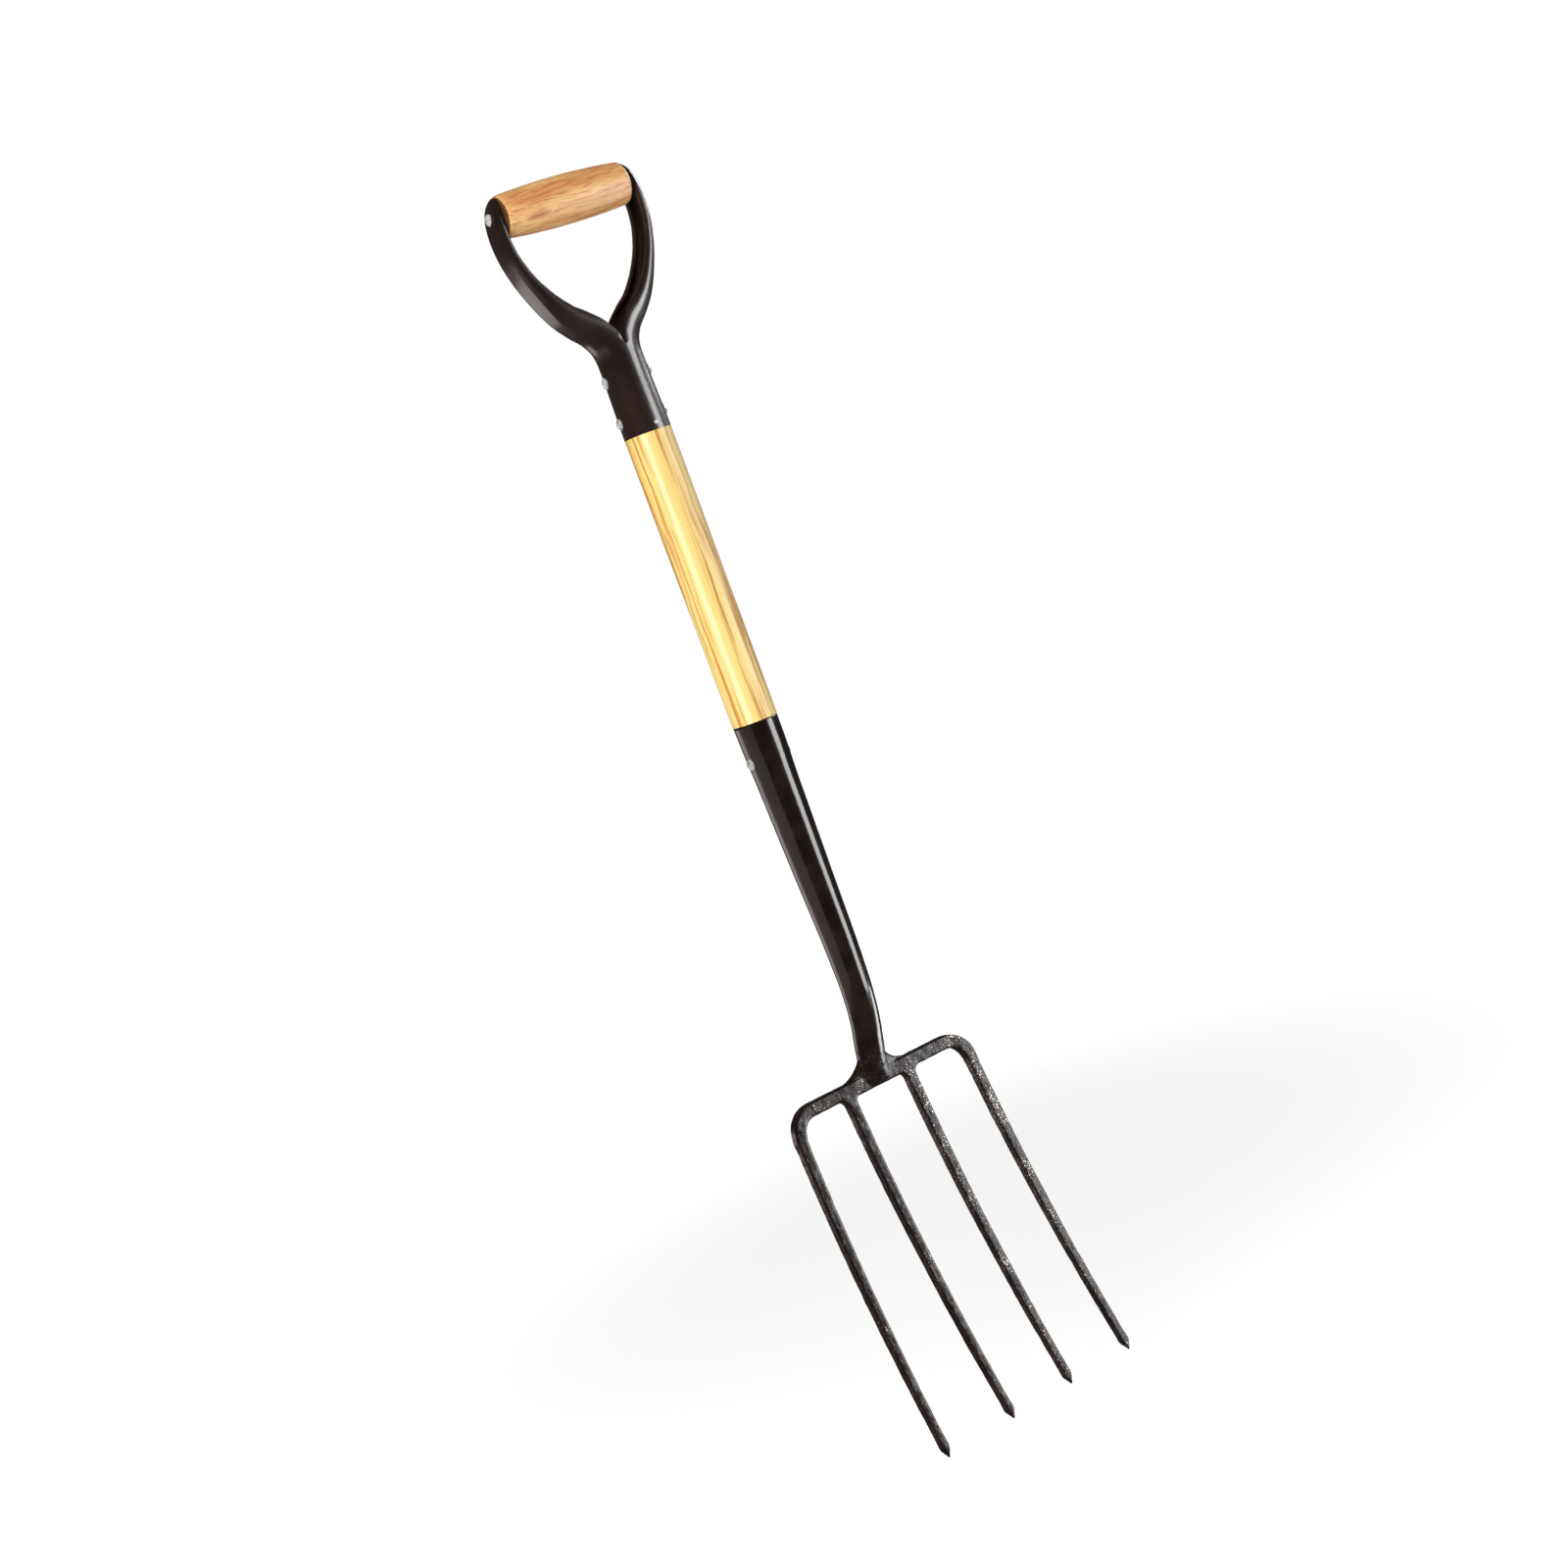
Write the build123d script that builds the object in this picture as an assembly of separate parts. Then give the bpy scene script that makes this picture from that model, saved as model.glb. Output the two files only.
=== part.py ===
from build123d import *
import os
from math import atan, cos, radians, sin

# Four-tine digging fork with a steel-yoke D handle. Millimetres. +Z runs up the tool from the
# tine tips to the grip, -Y is the front that the tines curve towards, +X is to the right.
# The origin is the point under the middle of the grip where a wall peg carries the tool.

# Grip: a turned wooden barrel
grip_length = 110.0
grip_mid_dia = 37.4
grip_end_dia = 32.4
grip_end_round = 3.5
grip_seat_gap = 0.4           # all round the ends of the grip in the yoke arms

# Rod that holds the grip, peened over outside both arms
rod_dia = 7.0
rod_clearance = 0.05          # running fit of the grip on the rod, on the radius

# Rivets
rivet_dia = 5.0
rivet_head_dia = 9.6
rivet_head_height = 2.4
rivet_head_skirt = 1.2        # depth of the head that beds down on the curved socket
rivet_turn = 12.0             # yoke rivets are turned this much towards the back
fit_gap = 0.05                # every standing fit, on the radius

# Nail at the front of the yoke socket
nail_dia = 2.0
nail_head_dia = 3.4
nail_head_height = 0.9
nail_length = 14.0

# Yoke: a wrapped and pressed steel handle top
grip_to_rim = 186.0           # grip axis down to the rim of the yoke socket
yoke_rim_dia = 37.5
yoke_waist_dia = 35.4
yoke_waist_height = 60.0      # above the rim
yoke_wall = 1.7
yoke_crown = 12.0             # blunt top of the socket above its waist, hidden between the arms
yoke_seam = 0.8               # width of the open seam down the front
arm_wall = 2.2
channel_mouth = 6.0           # the channel is cut past the inner side of the arm by this much
arm_outer_reach = 64.6        # half of the outside width over the arms
yoke_rivet_heights = {"yoke_rivet_lower": 13.0, "yoke_rivet_upper": 45.5}
nail_height = 5.2             # above the rim

# Shaft: straight ash, stepped down into the yoke and tapered into the fork head
shaft_top_dia = 37.4          # where it meets the yoke
shaft_low_dia = 36.2          # where it meets the fork head
shaft_visible = 233.6         # between the yoke rim and the mouth of the fork socket
shaft_in_yoke = 55.0
shaft_in_head = 150.0
shaft_end_round = 2.0

# Fork head: one forging with a closed socket, a cranked neck, a shoulder bar and four tines
socket_mouth_dia = 35.8
socket_wall = 1.9
socket_end_wall = 4.2         # side wall left round the lower end of the shaft
head_rivet_depth = 30.0       # below the socket mouth
neck_dia = 23.6
bar_depth = 296.0             # socket mouth down to the middle of the shoulder bar
bar_height = 10.8
bar_middle_drop = 1.3         # the bar is this much deeper between the inner tines
bar_thick = 9.4
bar_setback = 17.8            # middle of the bar behind the shaft axis
bar_corner_round = 23.0       # outer corner of the shoulder
gap_corner_round = 11.5       # inner corner beside an outer tine
root_round = 5.5              # corners beside the inner tines
root_run = 3.0                # straight run between the corner roundings and the tines
neck_web_round = 24.0         # webs that run from the neck out along the bar
web_crank = 0.6               # setback of the top of the webs as a share of the bar's
tine_reach = 271.3            # middle of the bar down to the tips
tine_top_slope = 0.128        # forward run for each unit down, at the bar
tine_tip_slope = 0.383        # and at the tips
tine_root_width = 9.2
tine_end_width = 6.5
tine_root_thick = 8.6
tine_end_thick = 6.4
point_length = 7.5
point_flare = 0.35            # how far the shoulders of a point stand out, each side
point_tip = 1.2               # blunt end of a point
tine_places = ((-82.6, -92.8), (-29.8, -28.8), (28.2, 29.8), (84.8, 89.6))   # x at the bar, x at the tip
tine_bevel = 1.1

# Levels along the tool
grip_z = grip_mid_dia / 2
rim_z = grip_z - grip_to_rim
mouth_z = rim_z - shaft_visible
bar_z = mouth_z - bar_depth
tip_z = bar_z - tine_reach

os.makedirs("parts", exist_ok=True)


def save(name, shape):
    shape.label = name
    export_step(shape, f"parts/{name}.step")


def turned(profile_points):
    """Solid of revolution about Z from (radius, height) points, the first and last on the axis."""
    face = make_face(Plane.XZ * Polyline(*profile_points, close=True))
    return revolve(face, Axis.Z)


def cross_bar(dia, length):
    """Cylinder along X, centred."""
    return Rot(0, 90, 0) * Cylinder(dia / 2, length)


def cross_hole(dia):
    """Clearance hole along X right through the tool for a rivet or rod."""
    return cross_bar(dia + 2 * fit_gap, 3 * arm_outer_reach)


def domed_head(dia, height):
    """Low dome standing on z = 0."""
    radius = (dia * dia / 4 + height * height) / (2 * height)
    ball = Pos(0, 0, height - radius) * Sphere(radius)
    return ball & Pos(0, 0, height / 2) * Cylinder(dia, height)


# --- yoke ---------------------------------------------------------------------------------

def yoke_dia(height):
    """Outside diameter of the yoke socket at a height above its rim."""
    return yoke_rim_dia + (yoke_waist_dia - yoke_rim_dia) * height / yoke_waist_height


def yoke_bore_radius(height):
    return yoke_dia(height) / 2 - yoke_wall


# Stations up one arm: outer point as a share of the reach, height above the rim, lean of the
# arm from upright, thickness seen from the front, depth from front to back, corner radius as a
# share of the thickness.
arm_stations = [
    (0.240, 50.0, 0.0, 15.0, 22.0, 0.49),
    (0.258, 63.0, 3.0, 16.2, 25.0, 0.49),
    (0.335, 75.5, 33.0, 21.0, 30.5, 0.46),
    (0.492, 86.5, 41.0, 18.8, 33.0, 0.36),
    (0.632, 98.0, 36.0, 13.8, 30.8, 0.32),
    (0.797, 118.0, 26.0, 10.0, 27.4, 0.30),
    (0.917, 138.0, 17.0, 7.8, 25.2, 0.30),
    (0.985, 157.0, 7.0, 7.2, 24.6, 0.30),
    (1.000, 173.0, 0.0, 7.4, 24.4, 0.30),
    (0.988, 185.0, -7.0, 8.2, 24.2, 0.32),
    (0.936, 194.0, -26.0, 8.0, 20.0, 0.40),
    (0.866, 200.5, -48.0, 6.8, 13.0, 0.45),
]
channel_stations = arm_stations[4:-1]
rod_station = arm_stations[9]  # level with the rod


def arm_plane(share, height, lean):
    """Plane across the arm at a station, its local x pointing outwards, and its origin outside."""
    tilt = radians(lean)
    outward = Vector(cos(tilt), 0, -sin(tilt))
    along = Vector(sin(tilt), 0, cos(tilt))
    origin = Vector(share * arm_outer_reach, 0, rim_z + height)
    return Plane(origin=origin, x_dir=outward, z_dir=along)


def arm_section(station, inset, overshoot):
    """Rounded section of an arm, or of the channel in it when inset is the wall."""
    share, height, lean, thick, depth, rounding = station
    span = thick - inset + overshoot
    width = depth - 2 * inset
    corner = min(span, width) * rounding
    return arm_plane(share, height, lean) * Pos(-inset - span / 2, 0) * RectangleRounded(span, width, corner)


def arm_solid():
    return loft([arm_section(station, 0, 0) for station in arm_stations])


def yoke_socket_solid():
    """Tapered outside of the socket, with a blunt top that the arms grow out of."""
    rim_r, waist_r = yoke_rim_dia / 2, yoke_waist_dia / 2
    waist_z = rim_z + yoke_waist_height
    crown_r, crown_z = waist_r - yoke_wall, waist_z + yoke_crown
    return turned([(0, rim_z), (rim_r, rim_z), (waist_r, waist_z), (crown_r, crown_z), (0, crown_z)])


def build_yoke():
    channel = [arm_section(station, arm_wall, channel_mouth) for station in channel_stations]
    arm = arm_solid() - loft(channel)
    yoke = arm + mirror(arm, Plane.YZ) + yoke_socket_solid()
    bore_top = rim_z + shaft_in_yoke + fit_gap
    yoke -= turned([(0, rim_z), (yoke_bore_radius(0), rim_z), (yoke_bore_radius(shaft_in_yoke), bore_top),
                    (0, bore_top)])
    seam_run = Box(yoke_seam, yoke_rim_dia, shaft_in_yoke, align=(Align.CENTER, Align.MAX, Align.MIN))
    yoke -= Pos(0, 0, rim_z) * seam_run
    grip_seat = cross_bar(grip_end_dia + 2 * grip_seat_gap, grip_length + 2 * grip_seat_gap)
    return yoke - Pos(0, 0, grip_z) * (grip_seat + cross_hole(rod_dia))


# --- shaft and grip ------------------------------------------------------------------------

def build_shaft():
    top_z, end_z = rim_z + shaft_in_yoke, mouth_z - shaft_in_head
    yoke_r, top_r = yoke_bore_radius(0) - fit_gap, yoke_bore_radius(shaft_in_yoke) - fit_gap
    mouth_r, end_r = socket_bore_radius(0) - fit_gap, socket_bore_radius(shaft_in_head) - fit_gap
    return turned([
        (0, end_z), (end_r - shaft_end_round, end_z), (end_r, end_z + shaft_end_round),
        (mouth_r, mouth_z + fit_gap), (shaft_low_dia / 2, mouth_z + fit_gap),
        (shaft_top_dia / 2, rim_z - fit_gap), (yoke_r, rim_z - fit_gap),
        (top_r, top_z), (0, top_z),
    ])


def build_grip():
    """Barrel turned between its two ends, bored through for the rod."""
    half, end_r, mid_r = grip_length / 2, grip_end_dia / 2, grip_mid_dia / 2
    bow = ThreePointArc((end_r, -half), (mid_r, 0), (end_r, half))
    section = make_face(bow + Polyline((end_r, half), (0, half), (0, -half), (end_r, -half)))
    section = fillet(section.vertices().sort_by(Axis.X)[-2:], grip_end_round)
    barrel = revolve(Plane.XZ * section, Axis.Z)
    barrel -= Cylinder(rod_dia / 2 + rod_clearance, 2 * grip_length)
    return Pos(0, 0, grip_z) * Rot(0, 90, 0) * barrel


# --- fork head -----------------------------------------------------------------------------

# Stations down the socket and neck: depth below the mouth as a share of the way to the bar,
# outside width, depth from front to back, setback of the centre as a share of the bar's.
neck_stations = [
    (0.000, socket_mouth_dia, socket_mouth_dia, 0.0),
    (0.085, 34.9, 34.9, -0.02),
    (0.160, 33.1, 33.1, -0.03),
    (0.255, 31.8, 31.8, -0.06),
    (0.390, 29.9, 29.9, -0.10),
    (0.500, 28.2, 28.2, -0.15),
    (0.625, 26.3, 26.3, -0.20),
    (0.725, 25.0, 25.0, -0.18),
    (0.795, 24.2, 24.2, -0.05),
    (0.850, neck_dia, neck_dia, 0.19),
    (0.900, neck_dia, neck_dia * 0.97, 0.50),
    (0.945, neck_dia, neck_dia * 0.86, 0.77),
    (0.985, neck_dia * 1.01, neck_dia * 0.64, 0.96),
    (1.005, neck_dia * 1.02, bar_thick, 1.03),
]


def socket_dia(depth):
    """Outside width of the socket at a depth below its mouth, between the stations around it."""
    share = depth / bar_depth
    below = next(i for i, station in enumerate(neck_stations) if station[0] >= share and i > 0)
    (share_a, dia_a), (share_b, dia_b) = neck_stations[below - 1][:2], neck_stations[below][:2]
    return dia_a + (dia_b - dia_a) * (share - share_a) / (share_b - share_a)


def socket_bore_radius(depth):
    """Radius of the tapered bore in the socket at a depth below its mouth."""
    mouth_r = socket_mouth_dia / 2 - socket_wall
    end_r = socket_dia(shaft_in_head) / 2 - socket_end_wall
    return mouth_r + (end_r - mouth_r) * depth / shaft_in_head


def neck_solid():
    """Socket and neck: rings carried down the cranked centre line."""
    centres = [Vector(0, setback * bar_setback, mouth_z - share * bar_depth)
               for share, width, depth, setback in neck_stations]
    rings = []
    for i, (share, width, depth, setback) in enumerate(neck_stations):
        ahead, behind = centres[min(i + 1, len(centres) - 1)], centres[max(i - 1, 0)]
        along = Vector(0, 0, -1) if i == 0 else (ahead - behind).normalized()
        ring_plane = Plane(origin=centres[i], x_dir=Vector(1, 0, 0), z_dir=along)
        rings.append(ring_plane * Ellipse(width / 2, depth / 2))
    return loft(rings)


def tine_sides(place, z, extra=0.0):
    """Left and right side of a tine at a level; tines taper and spread towards the tips."""
    share = (bar_z - z) / tine_reach
    middle = place[0] + (place[1] - place[0]) * share
    half = (tine_root_width + (tine_end_width - tine_root_width) * share) / 2 + extra
    return middle - half, middle + half


def tine_outline(place, start_z):
    """Front view of one tine with its spear point, from its root down."""
    base_z = tip_z + point_length
    neck_z = base_z + point_length
    left, right = [], []
    for z, extra in ((start_z, 0), (neck_z, 0), (base_z, point_flare)):
        left_x, right_x = tine_sides(place, z, extra)
        left.append((left_x, z))
        right.append((right_x, z))
    left.append((place[1] - point_tip / 2, tip_z))
    right.append((place[1] + point_tip / 2, tip_z))
    return make_face(Polyline(*left, *reversed(right), close=True))


def rounded_block(left_x, right_x, top_z, low_z, left_round, right_round):
    """Rectangle of the front view with its two upper corners rounded."""
    block = make_face(Polyline((left_x, low_z), (right_x, low_z), (right_x, top_z), (left_x, top_z), close=True))
    block = fillet(block.vertices().sort_by_distance(Vector(left_x, top_z, 0))[0], left_round)
    return fillet(block.vertices().sort_by_distance(Vector(right_x, top_z, 0))[0], right_round)


def bar_outline(start_z):
    """Front view of the shoulder bar with its webs, down to the roots of the tines."""
    top_z, low_z = bar_z + bar_height / 2, bar_z - bar_height / 2
    left_x, right_x = tine_sides(tine_places[0], start_z)[0], tine_sides(tine_places[-1], start_z)[1]
    shape = rounded_block(left_x, right_x, top_z, start_z, bar_corner_round, bar_corner_round)
    last = len(tine_places) - 2
    for i in range(last + 1):
        gap_left = tine_sides(tine_places[i], start_z)[1]
        gap_right = tine_sides(tine_places[i + 1], start_z)[0]
        left_round = gap_corner_round if i == 0 else root_round
        right_round = gap_corner_round if i == last else root_round
        gap_top = low_z - (bar_middle_drop if 0 < i < last else 0)
        shape -= rounded_block(gap_left, gap_right, gap_top, start_z - root_run, left_round, right_round)
    web_x, web_top = neck_dia / 4, top_z + neck_web_round
    web = make_face(Polyline((-web_x - neck_web_round, top_z), (web_x + neck_web_round, top_z),
                             (web_x + neck_web_round, web_top), (-web_x - neck_web_round, web_top), close=True))
    for side in (1, -1):
        web -= Pos(side * (web_x + neck_web_round), web_top) * Circle(neck_web_round)
    return shape + web


def tine_setback(share):
    """Setback of the middle line behind the shaft axis and its lean, at a share of the tine reach."""
    slope = tine_top_slope + (tine_tip_slope - tine_top_slope) * share
    run = tine_reach * (tine_top_slope * share + (tine_tip_slope - tine_top_slope) * share * share / 2)
    return bar_setback - run, atan(slope)


def ribbon_outline():
    """Side view of bar and tines: one long bow that brings the tines forward, tapered in thickness."""
    bar_share = bar_height / tine_reach
    base_share = 1 - point_length / tine_reach
    web_top = bar_z + bar_height / 2 + neck_web_round
    front = [(web_crank * bar_setback - bar_thick / 2, web_top)]
    back = [(web_crank * bar_setback + bar_thick / 2, web_top)]
    for share, thick in ((0, bar_thick), (bar_share, bar_thick), (2 * bar_share, tine_root_thick),
                         (0.35, tine_root_thick * 0.94), (0.65, (tine_root_thick + tine_end_thick) / 2),
                         (base_share, tine_end_thick)):
        middle, lean = tine_setback(share)
        z = bar_z - share * tine_reach
        front.append((middle - thick / 2 * cos(lean), z + thick / 2 * sin(lean)))
        back.append((middle + thick / 2 * cos(lean), z - thick / 2 * sin(lean)))
    tip_y = tine_setback(1)[0]
    point = Polyline(front[-1], (tip_y - point_tip / 2, tip_z), (tip_y + point_tip / 2, tip_z), back[-1])
    return make_face(Spline(*front) + point + Spline(*reversed(back)) + Polyline(back[0], front[0]))


def build_fork_head():
    roots_below_bar = max(gap_corner_round, bar_corner_round - bar_height) + root_run
    start_z = bar_z - bar_height / 2 - roots_below_bar
    side = extrude(Plane.YZ * ribbon_outline(), amount=2 * tine_reach, both=True)
    head = extrude(Plane.XZ * bar_outline(start_z), amount=2 * tine_reach, both=True) & side
    for place in tine_places:
        tine = extrude(Plane.XZ * tine_outline(place, start_z), amount=2 * tine_reach, both=True) & side
        long_edges = tine.edges().filter_by(lambda edge: edge.length > 0.6 * tine_reach)
        head += chamfer(long_edges, tine_bevel)
    head += neck_solid()
    bore_end = mouth_z - shaft_in_head - fit_gap
    return head - turned([(0, mouth_z), (socket_bore_radius(0), mouth_z),
                          (socket_bore_radius(shaft_in_head), bore_end), (0, bore_end)])


# --- fasteners and assembly ----------------------------------------------------------------

def bedded_rivet(shank_dia, seat, bed):
    """Rivet along X whose domed heads are shaped by what they are closed down on."""
    body = cross_bar(shank_dia, seat)
    body += cross_bar(rivet_head_dia, seat) - cross_bar(rivet_head_dia, seat - 2 * rivet_head_skirt)
    for side in (1, -1):
        body += Pos(side * seat / 2, 0, 0) * Rot(0, 90 * side, 0) * domed_head(rivet_head_dia, rivet_head_height)
    return body - bed


def riveted(name, place, shank_dia, seat, host):
    """Save a rivet at its place, closed down on the drilled host."""
    save(name, place * bedded_rivet(shank_dia, seat, place.inverse() * host))


yoke_rivet_places = {name: Pos(0, 0, rim_z + height) * Rot(0, 0, -rivet_turn)
                     for name, height in yoke_rivet_heights.items()}
head_rivet_place = Pos(0, 0, mouth_z - head_rivet_depth)
rod_place = Pos(0, 0, grip_z)
yoke_holes = [place * cross_hole(rivet_dia) for place in yoke_rivet_places.values()]
head_hole = head_rivet_place * cross_hole(rivet_dia)

nail_place = Pos(0, -yoke_dia(nail_height) / 2, rim_z + nail_height) * Rot(90, 0, 0)
nail = Cylinder(nail_dia / 2, nail_length, align=(Align.CENTER, Align.CENTER, Align.MAX))
nail += domed_head(nail_head_dia, nail_head_height)
nail_hole = nail_place * Cylinder(nail_dia / 2 + fit_gap, 2 * (nail_length + fit_gap))

yoke = build_yoke() - yoke_holes - nail_hole
fork_head = build_fork_head() - head_hole
save("yoke", yoke)
save("fork_head", fork_head)
save("shaft", build_shaft() - yoke_holes - nail_hole - head_hole)
save("grip", build_grip())
save("yoke_nail", nail_place * nail)
for name, place in yoke_rivet_places.items():
    riveted(name, place, rivet_dia, yoke_dia(yoke_rivet_heights[name]), yoke)
riveted("head_rivet", head_rivet_place, rivet_dia, socket_dia(head_rivet_depth), fork_head)
riveted("grip_rod", rod_place, rod_dia, 2 * arm_outer_reach * rod_station[0], yoke)
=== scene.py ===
from math import cos, pi, radians, sin
import bmesh
import bpy
import numpy as np
from mathutils import Matrix, Vector


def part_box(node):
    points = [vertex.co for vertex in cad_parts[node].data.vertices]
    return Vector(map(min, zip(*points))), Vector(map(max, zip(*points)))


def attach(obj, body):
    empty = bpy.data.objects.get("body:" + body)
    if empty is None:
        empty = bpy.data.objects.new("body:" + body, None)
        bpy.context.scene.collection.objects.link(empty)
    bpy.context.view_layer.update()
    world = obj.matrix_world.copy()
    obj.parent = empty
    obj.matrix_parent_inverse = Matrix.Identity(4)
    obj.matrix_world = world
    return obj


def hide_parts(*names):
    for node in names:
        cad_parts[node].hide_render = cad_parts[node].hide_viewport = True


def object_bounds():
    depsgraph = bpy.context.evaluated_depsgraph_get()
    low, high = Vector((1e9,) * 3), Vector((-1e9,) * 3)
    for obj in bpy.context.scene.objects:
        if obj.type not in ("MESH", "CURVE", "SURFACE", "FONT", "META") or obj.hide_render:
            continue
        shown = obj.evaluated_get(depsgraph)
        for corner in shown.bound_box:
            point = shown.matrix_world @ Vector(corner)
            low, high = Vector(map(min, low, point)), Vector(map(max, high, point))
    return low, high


# A four-tine digging fork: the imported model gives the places, and the yoke and the forged head are
# made again here as finer surfaces. Shapes are worked out in millimetres and stored in metres.
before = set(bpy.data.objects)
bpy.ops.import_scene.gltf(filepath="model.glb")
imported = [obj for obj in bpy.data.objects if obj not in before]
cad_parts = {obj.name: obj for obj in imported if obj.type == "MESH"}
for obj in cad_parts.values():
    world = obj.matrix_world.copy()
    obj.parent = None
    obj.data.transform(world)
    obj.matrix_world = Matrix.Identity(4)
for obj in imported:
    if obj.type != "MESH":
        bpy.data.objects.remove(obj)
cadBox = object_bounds()
mm = 0.001


def levelsOf(node):
    low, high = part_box(node)
    return low.z / mm, high.z / mm


tipZ, mouthZ = levelsOf("fork_head")
rimZ = levelsOf("yoke")[0]
gripZ = sum(levelsOf("grip")) / 2
print("frame loaded: mouth %.1f, rim %.1f, grip %.1f" % (mouthZ, rimZ, gripZ))


def curveThrough(xs, ys, x):
    # smooth curve through points: cubic pieces, with slopes held down where the points turn, so
    # it never swings past them
    xs, ys = np.asarray(xs, float), np.asarray(ys, float)
    gap = np.diff(xs)
    rise = np.diff(ys, axis=0) / (gap if ys.ndim == 1 else gap[:, None])
    same = rise[:-1] * rise[1:] > 0
    middle = np.where(same, 2 * rise[:-1] * rise[1:] / np.where(same, rise[:-1] + rise[1:], 1), 0)
    slope = np.concatenate([rise[:1], middle, rise[-1:]])
    i = np.clip(np.searchsorted(xs, x) - 1, 0, len(xs) - 2)
    h = gap[i]
    t = (np.asarray(x) - xs[i]) / h
    if ys.ndim == 2:
        h, t = h[:, None], t[:, None]
    return (ys[i] * (1 + 2 * t) * (1 - t) ** 2 + ys[i + 1] * t * t * (3 - 2 * t)
            + slope[i] * h * t * (1 - t) ** 2 - slope[i + 1] * h * t * t * (1 - t))


def smoothStep(low, high, x):
    t = np.clip((x - low) / (high - low), 0, 1)
    return t * t * (3 - 2 * t)


def unit(v):
    return v / np.maximum(np.linalg.norm(v, axis=-1, keepdims=True), 1e-9)


def latticeNoise(points, cell, seed):
    # soft noise from -1 to 1: hashed values on a cubic lattice, blended inside each cell with
    # smooth weights
    p = points / cell + seed * 7.31
    base = np.floor(p).astype(np.int64)
    f = p - base
    f = f * f * (3 - 2 * f)
    total = 0
    for dx in (0, 1):
        for dy in (0, 1):
            for dz in (0, 1):
                x, y, z = (base + [dx, dy, dz]).T
                k = x * 73856093 ^ y * 19349663 ^ z * 83492791
                k = (k * 2654435761 + seed * 97) & 0xFFFFFF
                value = ((k ^ (k >> 11)) * 48271 & 0xFFFF) / 32767.5 - 1
                weight = np.where([dx, dy, dz], f, 1 - f)
                total = total + value * (weight[:, 0] * weight[:, 1] * weight[:, 2])
    return total


toRight, toBack = (1.0, 0, 0), (0, 1.0, 0)


def alike(rows, value):
    # the same value or direction for every row
    return np.tile(value, (len(rows), 1)) if np.ndim(value) else np.full(len(rows), value)


def superRing(count, power):
    # unit ring from round (power 2) to nearly square: |x|^p + |y|^p = 1
    a = np.linspace(0, 2 * pi, count, endpoint=False)
    c, s = np.cos(a)[None, :], np.sin(a)[None, :]
    e = 2 / np.asarray(power, float)[:, None]
    return np.sign(c) * np.abs(c) ** e, np.sign(s) * np.abs(s) ** e


def carried(centre, sideways, across, halfWide, halfThick, power, count=40):
    # a ring carried along a path: centre + sideways * halfWide * x + across * halfThick * y
    x, y = superRing(count, power)
    x, y = x * halfWide[:, None], y * halfThick[:, None]
    return (centre[:, None, :] + x[..., None] * sideways[:, None, :]
            + y[..., None] * across[:, None, :])


def ringQuads(rows, cols, start):
    # quads between neighbouring rings, their points numbered row by row from start
    r, c = np.meshgrid(np.arange(rows - 1), np.arange(cols), indexing="ij")
    here, after = r * cols + c, r * cols + (c + 1) % cols
    return (np.stack([here, after, after + cols, here + cols], -1).reshape(-1, 4) + start).tolist()


def closedSurface(grids):
    # joins grids of rings into one mesh: quads between rings, and a fan on the middle point at
    # each end
    verts, faces, start = [], [], 0
    for grid in grids:
        rows, cols = grid.shape[:2]
        faces += ringQuads(rows, cols, start)
        verts += [grid.reshape(-1, 3), grid[:1].mean(1), grid[-1:].mean(1)]
        ring = np.arange(cols)
        low, high = start + rows * cols, start + rows * cols + 1
        faces += np.stack([np.full(cols, low), start + (ring + 1) % cols, start + ring], 1).tolist()
        last = start + (rows - 1) * cols
        faces += np.stack([np.full(cols, high), last + ring, last + (ring + 1) % cols], 1).tolist()
        start += rows * cols + 2
    return np.concatenate(verts), faces


def newObject(name, verts, faces):
    mesh = bpy.data.meshes.new(name)
    mesh.from_pydata((verts * mm).tolist(), [], faces)
    piece = bpy.data.objects.new(name, mesh)
    bpy.context.scene.collection.objects.link(piece)
    work = bmesh.new()
    work.from_mesh(mesh)
    bmesh.ops.remove_doubles(work, verts=work.verts, dist=1e-6)
    bmesh.ops.recalc_face_normals(work, faces=work.faces)
    work.to_mesh(mesh)
    work.free()
    mesh.shade_smooth()
    return piece


def bake(piece):
    # the modifiers' result becomes the mesh
    seen = piece.evaluated_get(bpy.context.evaluated_depsgraph_get())
    mesh = bpy.data.meshes.new_from_object(seen)
    old = piece.data
    piece.modifiers.clear()
    piece.data = mesh
    bpy.data.meshes.remove(old)


def coordinates(piece, what="co"):
    values = np.empty(len(piece.data.vertices) * 3, np.float32)
    piece.data.vertices.foreach_get(what, values)
    return values.reshape(-1, 3).astype(float)


def moveTo(piece, points):
    piece.data.vertices.foreach_set("co", points.astype(np.float32).ravel())
    piece.data.update()


def finishPiece(piece, body, node, material):
    piece.data.materials.clear()
    piece.data.materials.append(material)
    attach(piece, body)
    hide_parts(node)
    print(piece.name, len(piece.data.vertices), "points")


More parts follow.
